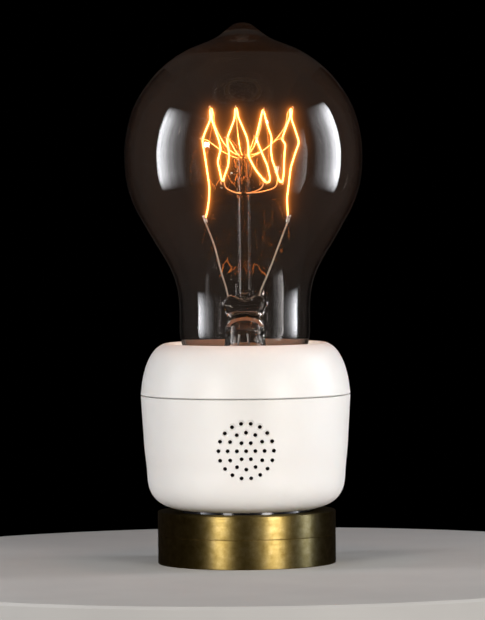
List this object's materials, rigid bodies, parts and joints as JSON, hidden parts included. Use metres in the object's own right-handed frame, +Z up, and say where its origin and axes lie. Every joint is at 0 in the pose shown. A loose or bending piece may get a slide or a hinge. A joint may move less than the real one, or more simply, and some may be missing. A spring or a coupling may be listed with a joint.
{
  "type": "smart light bulb",
  "caption": "Clear vintage-shape filament bulb screwed into a white smart socket adapter that stands screwed into a brass-collared lampholder.",
  "frame": {"origin": "centre of the bottom of the bounding box, on the collar's flat bottom edge", "axes": "+Z up along the lamp's axis, the adapter's round grille faces -Y"},
  "size_m": [0.0604, 0.0604, 0.1371],
  "materials": {
    "collar_brass": "turned and brushed brass, lacquered",
    "spring_brass": "bright rolled brass sheet",
    "nickel": "nickel-plated",
    "steel": "zinc-plated steel",
    "white_plastic": "glossy white moulded plastic",
    "porcelain": "moulded insulating material",
    "black_insulator": "black vitrified insulator",
    "board": "green circuit board",
    "black_part": "black moulded component",
    "yellow_part": "yellow moulded component",
    "blue_part": "blue epoxy coating",
    "ceramic_part": "pale ceramic tube",
    "lens": "clear indicator lens",
    "mesh_cloth": "fine dark dust mesh",
    "red_wire": "red insulated wire",
    "white_wire": "white insulated wire",
    "clear_glass": "clear blown glass with a faint smoky tint",
    "cement": "basing cement",
    "filament_metal": "glowing filament, lit amber"
  },
  "bodies": {
    "lampholder": {"brass_collar": "collar_brass", "base_plate": "steel", "holder_body": "black_insulator", "holder_screw_left": "steel", "holder_screw_right": "steel", "holder_screw_shell": "spring_brass", "holder_shell_screw": "steel", "holder_leaf_rivet": "spring_brass"},
    "holder_contact": {"holder_contact_leaf": "spring_brass"},
    "adapter_tip": {"base_contact": "nickel"},
    "smart_adapter": {"base_insulator": "black_insulator", "base_screw_shell": "nickel", "lower_housing": "white_plastic", "upper_housing": "white_plastic", "housing_screw_1": "steel", "housing_screw_2": "steel", "housing_screw_3": "steel", "grille_mesh": "mesh_cloth", "socket_insulator": "porcelain", "socket_screw_shell": "spring_brass", "socket_shell_screw": "steel", "socket_leaf_rivet": "spring_brass", "main_board": "board", "bulk_capacitor_1": "black_part", "bulk_capacitor_2": "black_part", "choke": "black_part", "bridge_rectifier": "black_part", "transformer": "yellow_part", "mains_capacitor": "yellow_part", "varistor": "blue_part", "fuse": "ceramic_part", "dimmer_transistor": "black_part", "status_led": "lens", "radio_board": "board", "radio_shield": "nickel", "controller_chip": "black_part", "live_wire": "red_wire", "neutral_wire": "white_wire", "socket_live_wire": "red_wire", "socket_neutral_wire": "white_wire"},
    "socket_contact": {"socket_contact_leaf": "spring_brass"},
    "bulb_tip": {"bulb_contact": "nickel"},
    "bulb": {"cap_insulator": "black_insulator", "bulb_screw_cap": "spring_brass", "cap_cement": "cement", "glass_envelope": "clear_glass", "glass_stem": "clear_glass", "glass_arbor": "clear_glass", "lead_wire_left": "steel", "lead_wire_right": "steel", "filament_clamp_left": "nickel", "filament_clamp_right": "nickel", "lead_out_live": "steel", "lead_out_neutral": "steel", "upper_support_wires": "steel", "middle_support_wires": "steel", "lower_support_wires": "steel", "filament": "filament_metal"}
  },
  "joints": [
    {"name": "holder_contact_flex", "type": "hinge", "parent": "lampholder", "child": "holder_contact", "pos_m": [-0.0056, 0, 0.0038], "axis": [0, 1, 0], "range_deg": [0, 4], "stiffness_Nm_per_rad": 0.05},
    {"name": "adapter_rise", "type": "slide", "parent": "lampholder", "child": "adapter_tip", "axis": [0, 0, 1], "range_m": [0, 0.01814]},
    {"name": "adapter_turn", "type": "hinge", "parent": "adapter_tip", "child": "smart_adapter", "pos_m": [0, 0, 0.005], "axis": [0, 0, 1], "range_deg": [0, 1800]},
    {"name": "socket_contact_flex", "type": "hinge", "parent": "smart_adapter", "child": "socket_contact", "pos_m": [-0.0056, 0, 0.031], "axis": [0, 1, 0], "range_deg": [0, 4], "stiffness_Nm_per_rad": 0.05},
    {"name": "bulb_rise", "type": "slide", "parent": "smart_adapter", "child": "bulb_tip", "axis": [0, 0, 1], "range_m": [0, 0.01814]},
    {"name": "bulb_turn", "type": "hinge", "parent": "bulb_tip", "child": "bulb", "pos_m": [0, 0, 0.0322], "axis": [0, 0, 1], "range_deg": [0, 1800]}
  ],
  "couplings": [
    {"joint": "adapter_turn", "follows": "adapter_rise", "rad_per_m": 1731.6},
    {"joint": "bulb_turn", "follows": "bulb_rise", "rad_per_m": 1731.6}
  ]
}
